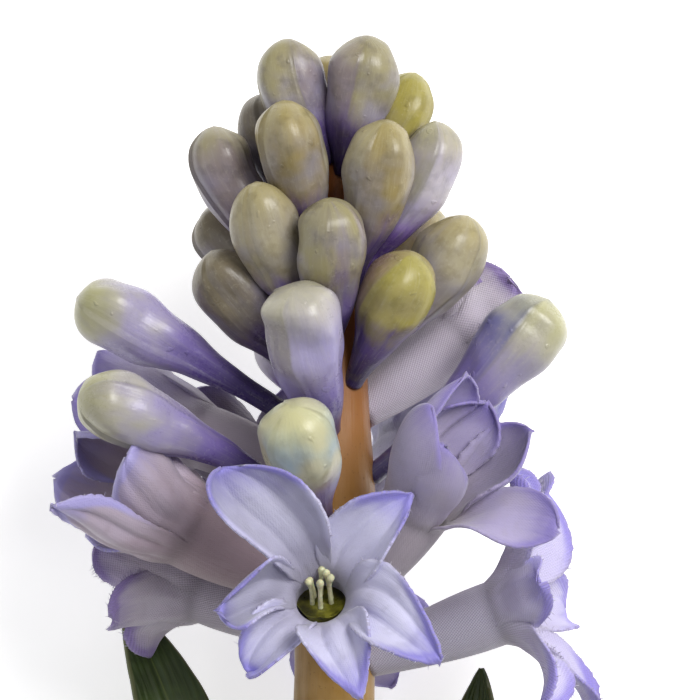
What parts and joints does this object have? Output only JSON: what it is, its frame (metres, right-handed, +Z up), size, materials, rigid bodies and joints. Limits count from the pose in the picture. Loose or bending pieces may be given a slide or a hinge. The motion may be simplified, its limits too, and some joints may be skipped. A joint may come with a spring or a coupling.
{
  "type": "hyacinth flower",
  "caption": "Artificial hyacinth on a cut stem, laid down: a dense spike of closed buds over a ring of open star-shaped florets with stamens, and strap leaves at the foot.",
  "frame": {"origin": "centre of the bounding box, on the surface the flower lies on", "axes": "+Y along the stem from its cut end towards the crown of buds, +Z up, away from the surface; the front floret faces up"},
  "size_m": [0.079, 0.2026, 0.061],
  "materials": {
    "stem": "amber tan, waxy, browner towards the crown",
    "leaf": "dark green with a paler rib and fine lengthwise veins, satin",
    "bud": "waxy satin, olive cream head fading to a lavender and violet foot",
    "petal": "woven, stiffened and moulded, pale lavender with violet rims",
    "stamen": "cream stamens on an olive cup, satin"
  },
  "bodies": {
    "root": {"stem": "stem", "leaf_left": "leaf", "leaf_right": "leaf", "leaf_front": "leaf", "bud_crown_left": "bud", "bud_crown_right": "bud", "bud_crown_back": "bud", "bud_crown_side": "bud", "bud_crown_far_left": "bud", "bud_upper_front": "bud", "bud_upper_left": "bud", "bud_upper_right": "bud", "bud_upper_side": "bud", "bud_upper_back_left": "bud", "bud_upper_back_right": "bud", "bud_middle_left": "bud", "bud_middle_front": "bud", "bud_middle_right": "bud", "bud_middle_far_left": "bud", "bud_middle_far_right": "bud", "bud_middle_back_left": "bud", "bud_middle_back_right": "bud", "bud_lower_right": "bud", "bud_lower_front": "bud", "bud_lower_left": "bud", "bud_lower_back_left": "bud", "bud_lower_back_right": "bud", "bud_open_front": "bud", "bud_long_upper_left": "bud", "bud_long_lower_left": "bud", "bud_long_right": "bud", "floret_front": "petal", "floret_left": "petal", "floret_right": "petal", "floret_low_right": "petal", "floret_high_right": "petal", "floret_high_left": "petal", "floret_low_left": "petal", "floret_back_left": "petal", "floret_back_right": "petal", "floret_back": "petal", "stamens_front": "stamen", "stamens_left": "stamen", "stamens_right": "stamen", "stamens_low_right": "stamen", "stamens_high_right": "stamen", "stamens_high_left": "stamen", "stamens_low_left": "stamen", "stamens_back_left": "stamen", "stamens_back_right": "stamen", "stamens_back": "stamen"}
  },
  "joints": []
}
